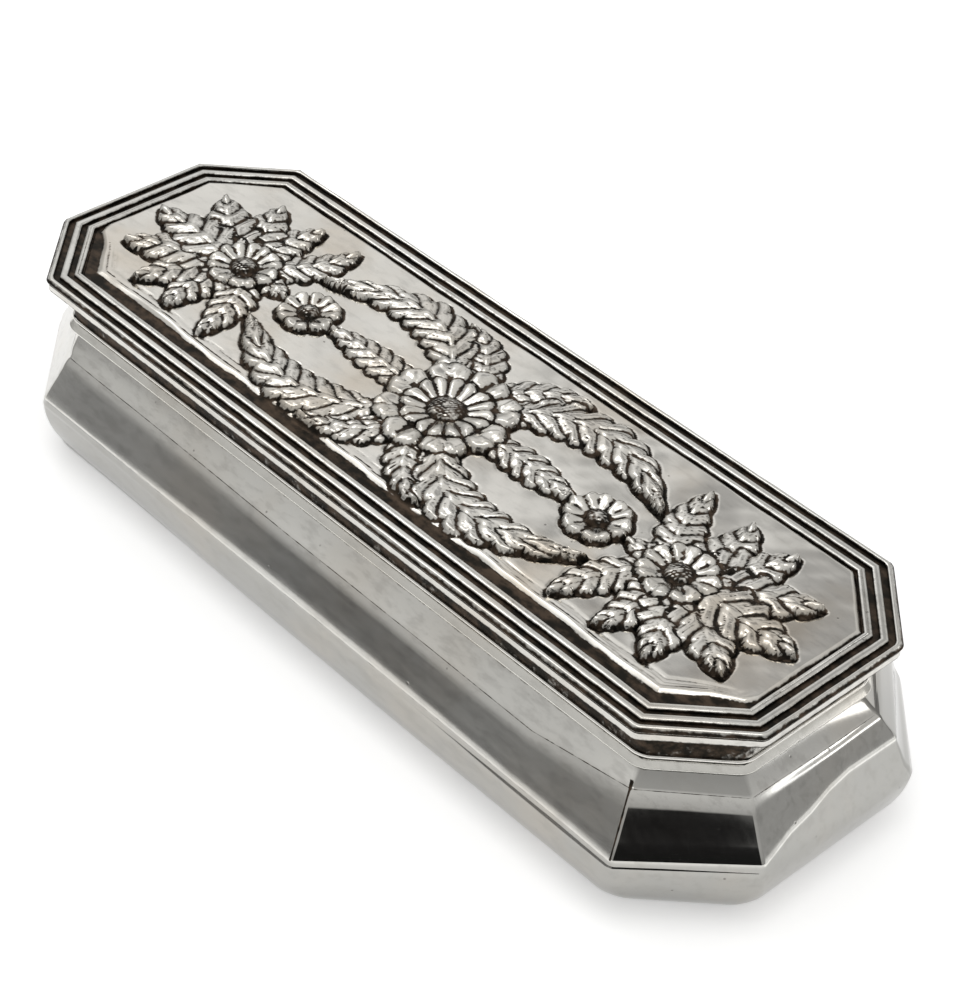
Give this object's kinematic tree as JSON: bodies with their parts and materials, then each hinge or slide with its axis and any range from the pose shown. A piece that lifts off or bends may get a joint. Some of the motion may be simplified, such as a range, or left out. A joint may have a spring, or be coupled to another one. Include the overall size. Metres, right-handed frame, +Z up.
{
  "type": "silver box",
  "caption": "Long eight-sided silver box with a stepped waist, rounded body and hinged lid with reeded border and raised foliage panel.",
  "frame": {"origin": "on the floor under the middle of the box, at the centre of the bounding box's base", "axes": "+X along the box's length, +Y towards the hinge at the back, +Z up"},
  "size_m": [0.1886, 0.0694, 0.0399],
  "materials": {
    "polished_silver": "polished silver with dark tarnish in the hollows",
    "chased_silver": "raised and chased silver, darkened in the recesses",
    "inner_silver": "plain silver, lightly brushed",
    "hinge_silver": "plain drawn silver"
  },
  "bodies": {
    "body": {"body_shell": "polished_silver", "base_plate": "inner_silver", "body_rim_bead": "polished_silver", "body_bezel": "inner_silver", "body_hinge_bearer": "hinge_silver", "body_knuckle_left": "hinge_silver", "body_knuckle_middle": "hinge_silver", "body_knuckle_right": "hinge_silver", "hinge_pin": "hinge_silver"},
    "lid": {"lid_cover": "chased_silver", "lid_apron": "polished_silver", "lid_hinge_bearer": "hinge_silver", "lid_knuckle_left": "hinge_silver", "lid_knuckle_right": "hinge_silver"}
  },
  "joints": [
    {"name": "lid_hinge", "type": "hinge", "parent": "body", "child": "lid", "pos_m": [0, 0.0282, 0.0276], "axis": [-1, 0, 0], "range_deg": [0, 105]}
  ]
}
